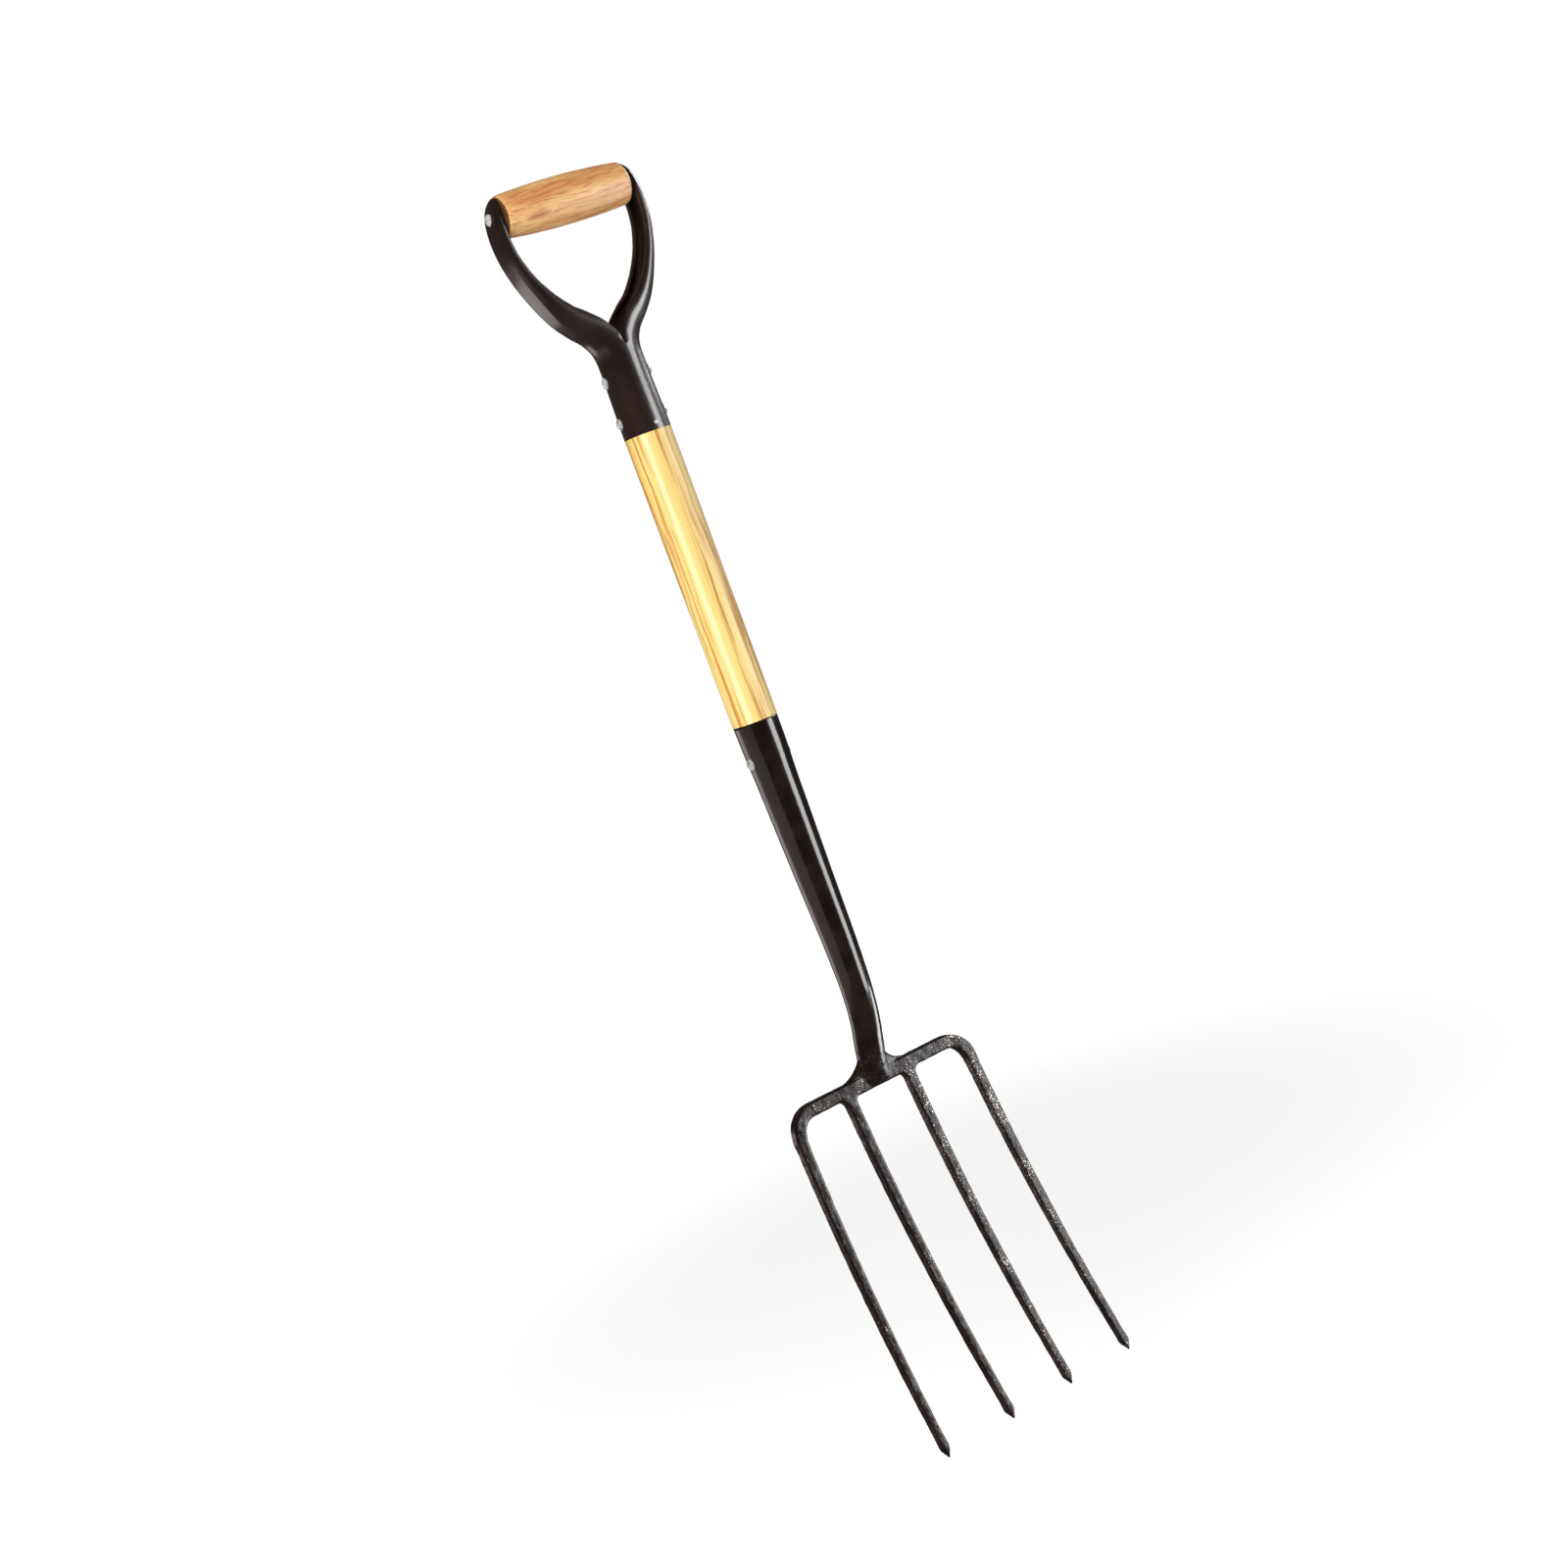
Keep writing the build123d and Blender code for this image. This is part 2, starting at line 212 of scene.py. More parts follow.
class Value:
    # a socket that takes part in sums: each operator adds the Math node for it, and make() adds any
    # other node from its type, its settings and the values or links of its sockets
    def __init__(self, tree, socket=None):
        self.tree, self.socket = tree, socket

    def make(self, kind, settings=None, values=None, out=0):
        node = self.tree.nodes.new(kind)
        for key, setting in (settings or {}).items():
            if key == "stops":
                elements = node.color_ramp.elements
                while len(elements) < len(setting):
                    elements.new(0.5)
                for element, (position, colour) in zip(elements, setting):
                    element.position, element.color = position, (*colour, 1)
            else:
                setattr(node, key, setting)
        for key, value in (values or {}).items():
            if isinstance(value, Value):
                self.tree.links.new(value.socket, node.inputs[key])
            else:
                node.inputs[key].default_value = value
        return Value(self.tree, node.outputs[out])

    def maths(self, operation, first, second=0.5):
        return self.make("ShaderNodeMath", {"operation": operation}, {0: first, 1: second})

    def __add__(self, other):
        return self.maths("ADD", self, other)

    def __radd__(self, other):
        return self.maths("ADD", other, self)

    def __sub__(self, other):
        return self.maths("SUBTRACT", self, other)

    def __rsub__(self, other):
        return self.maths("SUBTRACT", other, self)

    def __mul__(self, other):
        return self.maths("MULTIPLY", self, other)

    def __rmul__(self, other):
        return self.maths("MULTIPLY", other, self)


def newLook(name):
    # an empty material, and the value from which its nodes are made
    material = bpy.data.materials.new(name)
    material.use_nodes = True
    material.node_tree.nodes.clear()
    return material, Value(material.node_tree)


def painted(material, look, values):
    shader = look.make("ShaderNodeBsdfPrincipled", None, values)
    output = look.tree.nodes.new("ShaderNodeOutputMaterial")
    look.tree.links.new(shader.socket, output.inputs["Surface"])
    return material


def placed(look, scale=(1, 1, 1), turn=(0, 0, 0), move=(0, 0, 0)):
    # the point on the object, in metres, stretched, turned and moved
    spot = look.make("ShaderNodeTexCoord", out="Object")
    return look.make("ShaderNodeMapping", None, {
        "Vector": spot, "Scale": scale, "Rotation": turn, "Location": move})


def part(look, vector, axis):
    return look.make("ShaderNodeSeparateXYZ", None, {0: vector}, axis)


def noise(look, vector, scale, detail=3.0, rough=0.5, twist=0.0):
    return look.make("ShaderNodeTexNoise", None, {
        "Vector": vector, "Scale": scale, "Detail": detail, "Roughness": rough,
        "Distortion": twist})


def span(look, value, low, high, fromValue=0.0, toValue=1.0):
    return look.make("ShaderNodeMapRange", {"interpolation_type": "SMOOTHSTEP"},
                     {0: value, 1: low, 2: high, 3: fromValue, 4: toValue})


def mix(look, factor, first, second):
    # input 6 and 7 and output 2 are the Mix node's colours
    return look.make("ShaderNodeMix", {"data_type": "RGBA"}, {0: factor, 6: first, 7: second}, 2)


def bump(look, height, distance, strength=1.0):
    return look.make("ShaderNodeBump", None, {
        "Height": height, "Distance": distance, "Strength": strength})


def rgb(r, g, b):
    # a display colour of 0 to 255 as linear light
    return tuple(v / 255 / 12.92 if v < 10 else ((v / 255 + 0.055) / 1.055) ** 2.4
                 for v in (r, g, b))


def rgba(r, g, b):
    return (*rgb(r, g, b), 1.0)


# colours are display values, scales are in cells per metre and lengths in metres
enamel = {"dark": (28, 16, 12), "brown": (44, 28, 23), "dust": (120, 108, 102),
          "driftScale": 22.0, "fineScale": 900.0, "dustScale": 1500.0, "rippleScale": 160.0,
          "rippleHeight": 0.0004, "roughness": 0.33, "coat": 0.5, "coatRoughness": 0.20}


def enamelLook():
    # smooth stoved enamel: faint drift in tone, a little dust in the gloss and a very fine ripple
    material, look = newLook("yoke_enamel")
    spot = placed(look)
    drift = noise(look, spot, enamel["driftScale"], 4.0)
    fine = noise(look, spot, enamel["fineScale"])
    colour = mix(look, span(look, drift, 0.35, 0.7), rgba(*enamel["dark"]), rgba(*enamel["brown"]))
    speck = span(look, noise(look, spot, enamel["dustScale"], 1.0), 0.72, 0.80)
    colour = mix(look, speck * 0.25, colour, rgba(*enamel["dust"]))
    ripple = noise(look, spot, enamel["rippleScale"], 2.0) * 0.7 + fine * 0.12
    return painted(material, look, {
        "Base Color": colour,
        "Roughness": enamel["roughness"] + (drift - 0.5) * 0.12 + (fine - 0.5) * 0.06,
        "Coat Weight": enamel["coat"], "Coat Roughness": enamel["coatRoughness"],
        "Specular IOR Level": 0.5,
        "Normal": bump(look, ripple, enamel["rippleHeight"], 0.2)})


forging = {"dark": (19, 11, 8), "brown": (34, 22, 18), "glint": (158, 151, 146),
           "smoothAbove": 0.255, "hammeredBelow": 0.297,        # below the mouth of the socket
           "dimpleScale": 720.0, "gritScale": 1500.0, "patchScale": 55.0, "peelScale": 620.0,
           "wanderScale": 260.0, "wander": 0.003, "dentHeight": 0.0009,
           "litSideFrom": -0.03, "litSideTo": 0.06, "glintFrom": 0.81, "glintTo": 0.87}


def forgedLook():
    # paint over a rough forging: hammered dimples on bar and tines, deeper and with more painted
    # glints towards +X, the side the right lamp lights, that fade to an orange-peel skin up the
    # socket
    material, look = newLook("forged_steel")
    spot = placed(look)
    height = part(look, spot, "Z")
    mouth = mouthZ * mm
    up = span(look, height, mouth - forging["hammeredBelow"], mouth - forging["smoothAbove"])
    rough = 1 - up * 0.9
    patch = noise(look, spot, forging["patchScale"])
    drift = look.make("ShaderNodeTexNoise", None, {
        "Vector": spot, "Scale": forging["wanderScale"], "Detail": 2.0}, "Color")
    wander = look.make("ShaderNodeVectorMath", {"operation": "MULTIPLY_ADD"},
                       {0: drift, 1: (forging["wander"],) * 3, 2: spot})
    dimple = look.make("ShaderNodeTexVoronoi", {"feature": "SMOOTH_F1"}, {
        "Vector": wander, "Scale": forging["dimpleScale"], "Smoothness": 0.35})
    grit = noise(look, wander, forging["gritScale"], 4.0, 0.65)
    peel = noise(look, spot, forging["peelScale"], 2.0)
    # painted light: glints and deeper dents grow towards +X, the side the right lamp lights
    litSide = span(look, part(look, spot, "X"), forging["litSideFrom"], forging["litSideTo"])
    relief = ((dimple * 0.8 + grit * 0.7) * rough * (0.2 + litSide * 0.5) * (0.4 + patch * 1.1)
              + peel * 0.10)
    colour = mix(look, span(look, patch, 0.35, 0.68),
                 rgba(*forging["dark"]), rgba(*forging["brown"]))
    # painted glints: pale metallic flecks where grit and dimples peak, more of them on the lit +X
    # side
    level = grit * 0.75 + dimple * 0.45 + (patch - 0.5) * 0.5 + litSide * 0.08
    glint = span(look, level, forging["glintFrom"], forging["glintTo"]) * (1 - up)
    colour = mix(look, glint, colour, rgba(*forging["glint"]))
    return painted(material, look, {
        "Base Color": colour, "Metallic": glint * 0.9,
        "Roughness": 0.24 - up * 0.05 + (patch - 0.5) * 0.10,
        "Coat Weight": 0.10 + up * 0.35, "Coat Roughness": 0.10,
        "Specular IOR Level": 0.3,
        "Normal": bump(look, relief, forging["dentHeight"], 0.5)})


ash = {"pale": (244, 214, 134), "gold": (224, 178, 92), "line": (192, 128, 52),
       # the clear colour is a painted highlight: a pale streak along the shaft
       "pore": (160, 98, 38), "clear": (255, 240, 186),
       "turn": 0.507,                                           # of the board about the shaft
       "bandScale": 170.0, "lineScale": 460.0, "poreScale": 1300.0, "fibreScale": 420.0,
       "lazyScale": 9.0, "lazyShift": 0.007, "wobbleScale": 60.0, "wobbleShift": 0.0012,
       "middle": 0.0015, "linedFrom": 0.0030, "linedTo": 0.0080,
       "highlightAt": 0.0038, "highlightFrom": 0.0006, "highlightTo": 0.0034, "poreHeight": 0.0003}


def ashLook():
    # straight-grained ash, plain in the middle of the board and lined towards both sides, with a
    # painted highlight as a pale streak near the middle: growth bands across the board that wander
    # slowly along it, fine pores, and clear varnish over all
    material, look = newLook("ash_wood")
    board = placed(look, turn=(0, 0, ash["turn"]))
    across = part(look, board, "X")
    lazy = noise(look, placed(look, scale=(0.2, 0.2, 1)), ash["lazyScale"], 2.0)
    wobble = noise(look, placed(look, scale=(0.5, 0.5, 1)), ash["wobbleScale"], 2.0)
    shifted = across + (lazy - 0.5) * ash["lazyShift"] + (wobble - 0.5) * ash["wobbleShift"]
    bent = look.make("ShaderNodeCombineXYZ", None, {
        0: shifted, 1: part(look, board, "Y") * 0.10, 2: part(look, board, "Z") * 0.016})
    band = noise(look, bent, ash["bandScale"], 2.0)
    line = noise(look, bent, ash["lineScale"], 3.0, 0.6)
    pores = noise(look, placed(look, scale=(1, 1, 0.02)), ash["poreScale"], 2.0, 0.7)
    fibre = noise(look, placed(look, scale=(1, 1, 0.04)), ash["fibreScale"], 3.0, 0.6)
    offMiddle = look.maths("ABSOLUTE", across + ash["middle"])
    lined = span(look, offMiddle, ash["linedFrom"], ash["linedTo"])
    # painted highlight: clear marks a pale streak along the shaft, a little off the middle of the
    # board
    offHighlight = look.maths("ABSOLUTE", across + ash["highlightAt"])
    clear = span(look, offHighlight, ash["highlightFrom"], ash["highlightTo"], 1.0, 0.0)
    colour = mix(look, span(look, band, 0.42, 0.66) * (0.25 + lined * 0.6),
                 rgba(*ash["pale"]), rgba(*ash["gold"]))
    colour = mix(look, span(look, line, 0.46, 0.60) * (0.12 + lined * 0.8),
                 colour, rgba(*ash["line"]))
    colour = mix(look, span(look, band, 0.54, 0.62) * lined * 0.8, colour, rgba(*ash["line"]))
    colour = mix(look, clear * 0.75, colour, rgba(*ash["clear"]))
    colour = mix(look, span(look, pores, 0.60, 0.74) * (0.10 + lined * 0.3),
                 colour, rgba(*ash["pore"]))
    return painted(material, look, {
        "Base Color": colour,
        "Roughness": 0.46 + (fibre - 0.5) * 0.18,
        "Coat Weight": 0.10, "Coat Roughness": 0.25, "Specular IOR Level": 0.3,
        "Normal": bump(look, pores * 0.5 + fibre * 0.3, ash["poreHeight"], 0.2)})


handle = {"pale": (240, 190, 126), "tan": (222, 160, 98), "red": (188, 106, 50),
          "knot": (168, 78, 28), "endShade": (40, 24, 18),
          "wanderScale": 90.0, "wanderShift": 0.006, "streakScale": 620.0,
          "bandScale": 190.0, "broadScale": 62.0, "poreScale": 2200.0,
          "knotPlace": (-0.030, -0.0165, -0.009),               # from the middle of the grip
          "knotStretch": (0.28, 1.0, 1.0), "knotFrom": 0.0004, "knotTo": 0.0040,
          "endShadeFrom": 0.0538, "endShadeTo": 0.0546, "poreHeight": 0.0004}


def handleLook():
    # orange-brown turned wood, its grain running along the barrel, with one small knot low on
    # the left, and painted shade on both ends, where they sit inside the yoke's arms
    material, look = newLook("grip_wood")
    wander = noise(look, placed(look, scale=(0.35, 1, 1)), handle["wanderScale"], 2.0)
    lift = look.make("ShaderNodeCombineXYZ", None, {2: wander * handle["wanderShift"]})
    warped = look.make("ShaderNodeVectorMath", {"operation": "ADD"}, {0: placed(look), 1: lift})
    lines = look.make("ShaderNodeMapping", None, {"Vector": warped, "Scale": (0.07, 1, 1)})
    streak = noise(look, lines, handle["streakScale"], 3.0, 0.65, 0.3)
    band = noise(look, lines, handle["bandScale"], 3.0, 0.6, 0.5)
    broad = noise(look, placed(look, scale=(0.16, 1, 1), move=(0.02, 0, 0)),
                  handle["broadScale"], 3.0, 0.5, 0.8)
    pores = noise(look, placed(look, scale=(0.06, 1, 1)), handle["poreScale"], 2.0, 0.6)
    stops = [(0.26, rgb(*handle["red"])), (0.42, rgb(*handle["tan"])),
             (0.58, rgb(*handle["pale"])), (0.80, rgb(*handle["tan"]))]
    colour = look.make("ShaderNodeValToRGB", {"stops": stops}, {0: broad})
    colour = mix(look, span(look, band, 0.50, 0.72) * 0.6, colour, rgba(*handle["red"]))
    colour = mix(look, span(look, streak, 0.50, 0.64) * 0.7, colour, rgba(*handle["red"]))
    colour = mix(look, span(look, pores, 0.58, 0.72) * 0.35, colour, rgba(*handle["knot"]))
    spot = look.make("ShaderNodeTexCoord", out="Object")
    x, y, z = handle["knotPlace"]
    fromKnot = look.make("ShaderNodeVectorMath", {"operation": "SUBTRACT"},
                         {0: spot, 1: (x, y, gripZ * mm + z)})
    away = look.make("ShaderNodeVectorMath", {"operation": "MULTIPLY"},
                     {0: fromKnot, 1: handle["knotStretch"]})
    reach = look.make("ShaderNodeVectorMath", {"operation": "LENGTH"}, {0: away}, "Value")
    knot = span(look, reach + (streak - 0.5) * 0.008,
                handle["knotFrom"], handle["knotTo"], 1.0, 0.0)
    colour = mix(look, knot * 0.8, colour, rgba(*handle["knot"]))
    # painted shade: both ends of the barrel darkened, where they lie in the shadow of the yoke's
    # arms
    sideways = look.maths("ABSOLUTE", part(look, spot, "X"))
    colour = mix(look, span(look, sideways, handle["endShadeFrom"], handle["endShadeTo"]) * 0.85,
                 colour, rgba(*handle["endShade"]))
    return painted(material, look, {
        "Base Color": colour,
        "Roughness": 0.44 + (streak - 0.5) * 0.2,
        "Coat Weight": 0.12, "Coat Roughness": 0.2, "Specular IOR Level": 0.35,
        "Normal": bump(look, pores * 0.6 + streak * 0.4, handle["poreHeight"], 0.3)})


steel = {"bright": (214, 212, 208), "dull": (150, 145, 140), "bloomScale": 300.0,
         "markScale": 1400.0, "markHeight": 0.0005, "metallic": 0.3, "roughness": 0.30}


def steelLook():
    # plated rivet steel with file marks and a dull bloom
    material, look = newLook("rivet_steel")
    bloom = noise(look, placed(look), steel["bloomScale"])
    marks = noise(look, placed(look, scale=(1, 3, 0.4)), steel["markScale"], 2.0)
    return painted(material, look, {
        "Base Color": mix(look, span(look, bloom, 0.40, 0.70),
                          rgba(*steel["bright"]), rgba(*steel["dull"])),
        "Metallic": steel["metallic"],
        "Roughness": steel["roughness"] + (marks - 0.5) * 0.25 + (bloom - 0.5) * 0.15,
        "Normal": bump(look, bloom * 0.8 + marks * 0.4, steel["markHeight"], 0.5)})


enamelPaint, forgedPaint, ashWood, handleWood, rivetSteel = (
    enamelLook(), forgedLook(), ashLook(), handleLook(), steelLook())
print("materials made")


# the yoke is two pressed halves, each a C-shaped channel carried from the socket rim to the grip
yokeShape = {
    # height above the rim, outer point, half depth, corner radius, reach of the flanges, wall
    "stations": [
        (0.0, 18.75, 18.75, 18.75, 18.73, 1.7), (12.0, 18.6, 18.6, 18.6, 18.58, 1.7),
        (24.0, 18.35, 18.35, 18.35, 18.33, 1.7), (36.0, 18.05, 18.05, 18.05, 18.03, 1.8),
        (50.0, 17.75, 17.75, 17.75, 17.73, 1.9), (60.0, 17.8, 17.7, 17.7, 17.76, 2.0),
        (67.0, 18.7, 17.6, 17.4, 18.5, 2.1), (75.5, 22.2, 17.1, 15.0, 18.7, 2.1),
        (86.5, 31.9, 16.4, 12.0, 18.3, 2.1), (98.0, 40.9, 15.6, 9.5, 15.3, 2.1),
        (118.0, 51.7, 14.1, 6.4, 10.9, 2.1), (138.0, 59.6, 13.0, 5.0, 8.6, 2.1),
        (157.0, 64.0, 12.5, 4.3, 7.7, 2.1), (170.0, 64.9, 12.4, 4.1, 7.5, 2.1),
        (176.5, 64.7, 12.4, 4.1, 7.3, 2.0), (180.5, 64.3, 12.4, 4.6, 4.6, 1.9),
        (186.0, 63.4, 12.2, 4.8, 3.8, 1.8), (190.5, 62.2, 11.6, 5.0, 3.4, 1.7),
        (194.5, 60.6, 10.6, 5.0, 3.1, 1.6), (197.6, 58.8, 9.2, 5.0, 2.8, 1.5),
        (199.8, 57.0, 7.2, 4.5, 2.4, 1.4), (200.9, 55.8, 4.8, 3.5, 1.8, 1.2)],
    "rows": 250, "outerPoints": 61, "lipPoints": 7, "lipSwell": 2.4, "lipWidth": 3.2, "crown": 0.7,
    # heights between which the lips swell, end, turn from flat to round, and the web is crowned
    "swell": (70, 100), "swellEnd": (181, 177), "roll": (64, 80), "crowned": (80, 120),
    "notch": (0.0, -17.0, 73.0), "notchSize": (3.0, 3.5, 7.0), "notchShift": (0.45, 0.9, 0.6),
    "notchCell": 1.6}


def yokeHalf():
    # outer contour: a flat web, then an arc that turns a little past square, then a short
    # straight, all by arc length; the inner contour is that less the wall, along its normal; the
    # two are joined round the lip by half a circle
    table = np.array(yokeShape["stations"])
    steps = np.hypot(np.diff(table[:, 0]), np.diff(table[:, 1]))
    along = np.concatenate([[0], np.cumsum(steps)])
    s = np.linspace(0, along[-1], yokeShape["rows"])
    z, x, h, r, w, wall = curveThrough(along, table, s).T
    tangent = unit(np.stack([np.gradient(x, s), np.gradient(z, s)], 1))
    outward = np.stack([tangent[:, 1], -tangent[:, 0]], 1)
    swollen = (yokeShape["lipSwell"] * smoothStep(*yokeShape["swell"], z)
               * smoothStep(*yokeShape["swellEnd"], z))
    rolled = smoothStep(*yokeShape["roll"], z)
    w = w - rolled * (wall + swollen) / 2
    sweep = np.arccos(np.clip(1 - w / r, -0.3, 1))
    web, bend = h - r * np.sin(np.minimum(sweep, pi / 2)), r * sweep
    total = web + bend + np.maximum(0, w - 1.3 * r)
    u = np.linspace(-1, 1, yokeShape["outerPoints"])[None, :]
    run, side = np.abs(u) * total[:, None], np.sign(u)
    turn = np.clip((run - web[:, None]) / r[:, None], 0, sweep[:, None])
    straight = np.maximum(0, run - (web + bend)[:, None])
    n = -r[:, None] * (1 - np.cos(turn)) - straight * np.sin(turn)
    y = np.minimum(run, web[:, None]) + r[:, None] * np.sin(turn) + straight * np.cos(turn)
    crown = yokeShape["crown"] * smoothStep(*yokeShape["crowned"], z)
    n = n - crown[:, None] * (y / h[:, None]) ** 2
    swell = swollen[:, None] * smoothStep(0, 1, 1 - (total[:, None] - run) / yokeShape["lipWidth"])
    normal = np.stack([np.cos(turn), np.sin(turn) * side], -1)
    line = np.stack([n, y * side], -1)
    outer, inner = line, line - normal * (wall[:, None] + swell)[..., None]
    a = np.linspace(0, pi, yokeShape["lipPoints"] + 2)[1:-1][None, :, None]

    def lip(k, way):
        # half a circle on the arms, drawn flat towards the tube so that the halves meet there
        middle, spoke = (outer[:, k] + inner[:, k]) / 2, (outer[:, k] - inner[:, k]) / 2
        ahead = way * rolled[:, None] * np.stack([-spoke[:, 1], spoke[:, 0]], -1)
        return middle[:, None] + spoke[:, None] * np.cos(a) + ahead[:, None] * np.sin(a)

    loop = np.concatenate([outer, lip(-1, 1), inner[:, ::-1], lip(0, -1)[:, ::-1]], 1)
    grid = np.zeros(loop.shape[:2] + (3,))
    grid[..., 0] = x[:, None] + loop[..., 0] * outward[:, :1]
    grid[..., 1] = loop[..., 1]
    grid[..., 2] = rimZ + z[:, None] + loop[..., 0] * outward[:, 1:]
    return grid


def channelEnd(start):
    # closes an open channel's end, whose ring starts at that point: quads from the outer contour
    # across to the inner one, and one face in each lip
    k, c = yokeShape["outerPoints"], yokeShape["lipPoints"]
    ring = start + np.arange(2 * (k + c))
    outer, inner = ring[:k], ring[k + c:2 * k + c][::-1]
    quads = np.stack([outer[:-1], outer[1:], inner[1:], inner[:-1]], 1).tolist()
    lips = [[outer[-1], *ring[k:k + c], inner[-1]], [outer[0], inner[0], *ring[2 * k + c:]]]
    return quads + [[int(i) for i in lip] for lip in lips]


def buildYoke():
    half = yokeHalf()
    rows, cols = half.shape[:2]
    verts, faces = [], []
    for i, grid in enumerate((half, half * [-1, 1, 1])):
        start = i * rows * cols
        faces += ringQuads(rows, cols, start)
        faces += channelEnd(start) + channelEnd(start + (rows - 1) * cols)
        verts.append(grid.reshape(-1, 3))
    points = np.concatenate(verts)
    # rough paint in the crotch: noise under a bell curve of the distance from the notch
    x, y, z = yokeShape["notch"]
    notch = np.exp(-np.sum(((points - [x, y, rimZ + z]) / yokeShape["notchSize"]) ** 2, 1))
    jitter = np.stack([latticeNoise(points, yokeShape["notchCell"], k) for k in (3, 5, 9)], 1)
    points = points + jitter * notch[:, None] * yokeShape["notchShift"]
    piece = newObject("yoke_pressing", points, faces)
    piece.data.set_sharp_from_angle(angle=radians(40))
    finishPiece(piece, "fork", "yoke", enamelPaint)


headShape = {
    # x of each tine at the bar and at its tip
    "tines": ((-82.6, -92.8), (-29.8, -28.8), (28.2, 29.8), (84.8, 89.6)),
    "reach": 271.3, "topSlope": 0.128, "tipSlope": 0.383, "leanRun": 12.0, "setback": 17.8,
    "rootWide": 9.2, "endWide": 6.5, "rootThick": 8.8, "endThick": 6.4, "square": 9.0,
    "point": 7.5, "pointFlare": 0.35, "flareRun": 4.0, "blunt": 0.9,
    "barHigh": 10.8, "barThick": 9.4, "barDrop": 1.3, "cornerRadius": 18.0,
    "rootRound": 6.5, "rootShare": 0.9, "intoBar": 1.5,
    "barFrom": (-30, -4), "dropFrom": (34, 22),     # where a tine turns to bar, and the bar deepens
    "tineRows": 150, "cornerRows": 14, "barRows": 80, "innerRows": 190, "ring": 36,
    # inside corners: levels below the bar, half width and its growth, place beside the tine
    "cornerLevels": (17.0, 3.0), "cornerHalf": (1.2, 5.2), "cornerPlace": (3.4, 0.7),
    "cornerThick": 3.9,
    # neck: depth below the mouth, width, depth front to back, setback, squareness
    "neck": [
        (0.0, 35.8, 35.8, 0.0, 2.0), (25.0, 34.9, 34.9, -0.4, 2.0),
        (47.0, 33.1, 33.1, -0.6, 2.0), (75.0, 31.8, 31.8, -1.1, 2.0),
        (115.0, 29.9, 29.9, -1.8, 2.0), (148.0, 28.2, 28.2, -2.7, 2.0),
        (185.0, 26.3, 26.3, -3.7, 2.0), (214.0, 25.1, 25.1, -3.2, 2.0),
        (235.0, 24.3, 24.3, -0.8, 2.0), (252.0, 23.8, 23.8, 3.4, 2.0),
        (266.0, 23.6, 22.8, 8.8, 2.1), (279.0, 23.6, 20.4, 13.4, 2.2),
        (290.0, 24.0, 15.8, 16.4, 2.6), (299.0, 24.6, 10.4, 18.0, 3.2)],
    "neckRows": 230, "neckRing": 72,
    "webRadius": 25.0, "webHalf": 9.0, "webThick": 8.2, "webThin": 0.25, "webSquare": 3.2,
    "webBelow": 3.0, "webRise": 0.96,       # below the bar's middle, and share of the web's radius
    "shaftDepth": 150.0, "mouthWall": 1.1, "endWall": 4.2,
    # skin: grid of the merged forging, height of its dents, and the size and share of each kind
    "voxel": 0.9, "hammer": 0.16, "dents": ((2.6, 0.6), (6.0, 0.8)),
    "smoothNeck": 0.12, "hammerFrom": (-255, -292), "tipCalm": (0.0, 12.0)}
barZ = tipZ + headShape["reach"]


def setbackAt(z):
    # distance of the tines' middle line behind the shaft axis, and its slope: straight on the bar,
    # then a slope that grows evenly to the tip
    share = np.clip((barZ - z) / headShape["reach"], 0, None)
    top, end = headShape["topSlope"], headShape["tipSlope"]
    ahead = headShape["reach"] * (top * share + (end - top) * share ** 2 / 2)
    return headShape["setback"] - ahead, np.where(share > 0, top + (end - top) * share, 0)


def bowed(x, z):
    # lays a front-view line on the bow of the tines; also gives the direction through the thickness
    y, slope = setbackAt(z)
    lean = -slope * smoothStep(0, headShape["leanRun"], barZ - z)
    return np.stack([x, y, z], 1), unit(np.stack([0 * z, 0 * z + 1, lean], 1))


def tineSizes(z):
    # width and thickness at a level, drawn in over the point to its blunt end
    share = np.clip((barZ - z) / headShape["reach"], 0, 1)
    wide = headShape["rootWide"] + (headShape["endWide"] - headShape["rootWide"]) * share
    thick = headShape["rootThick"] + (headShape["endThick"] - headShape["rootThick"]) * share
    above = z - tipZ
    past = (above - headShape["point"]) / headShape["flareRun"]
    flare = 2 * headShape["pointFlare"] * np.exp(-past ** 2)
    taper = np.clip(above / headShape["point"], 0, 1)
    blunt = headShape["blunt"]
    return blunt + (wide + flare - blunt) * taper, blunt + (thick - blunt) * taper ** 0.9


def sweptBar(centre, across, wide, thick):
    # nearly square sections along a line, each square to it
    along = unit(np.gradient(centre, axis=0))
    power = np.full(len(centre), headShape["square"])
    return carried(centre, unit(np.cross(along, across)), across, wide / 2, thick / 2, power,
                   headShape["ring"])


